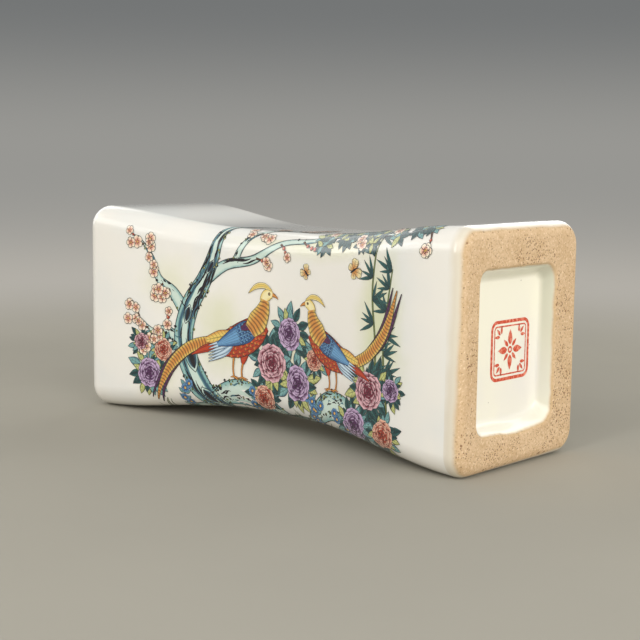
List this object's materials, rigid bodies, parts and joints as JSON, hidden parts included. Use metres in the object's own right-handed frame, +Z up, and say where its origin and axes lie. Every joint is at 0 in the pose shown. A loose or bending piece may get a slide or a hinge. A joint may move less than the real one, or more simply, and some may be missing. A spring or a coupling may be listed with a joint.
{
  "type": "ceramic pillow",
  "caption": "Waisted rectangular porcelain pillow, built hollow from luted slabs, with a shallow head hollow on top and a recessed base inside an unglazed foot frame.",
  "frame": {"origin": "middle of the pillow's outline on the surface it lies on", "axes": "+X along the pillow towards the unglazed foot, +Y from the enamelled front to the back, +Z up as it lies on its bottom wall"},
  "size_m": [0.19, 0.071, 0.083],
  "materials": {
    "white_glaze": "clear glossy glaze over white porcelain, enamelled on the front",
    "ivory_glaze": "glossy ivory glaze",
    "biscuit": "unglazed sandy biscuit",
    "raw_clay": "unglazed, hidden inside"
  },
  "bodies": {
    "root": {"top_slab": "white_glaze", "bottom_slab": "white_glaze", "front_slab": "white_glaze", "back_slab": "white_glaze", "closed_end_slab": "white_glaze", "foot_frame": "biscuit", "base_panel": "ivory_glaze", "top_front_seam_coil": "raw_clay", "top_back_seam_coil": "raw_clay", "bottom_front_seam_coil": "raw_clay", "bottom_back_seam_coil": "raw_clay", "closed_end_seam_coil": "raw_clay", "base_seam_coil": "raw_clay"}
  },
  "joints": []
}
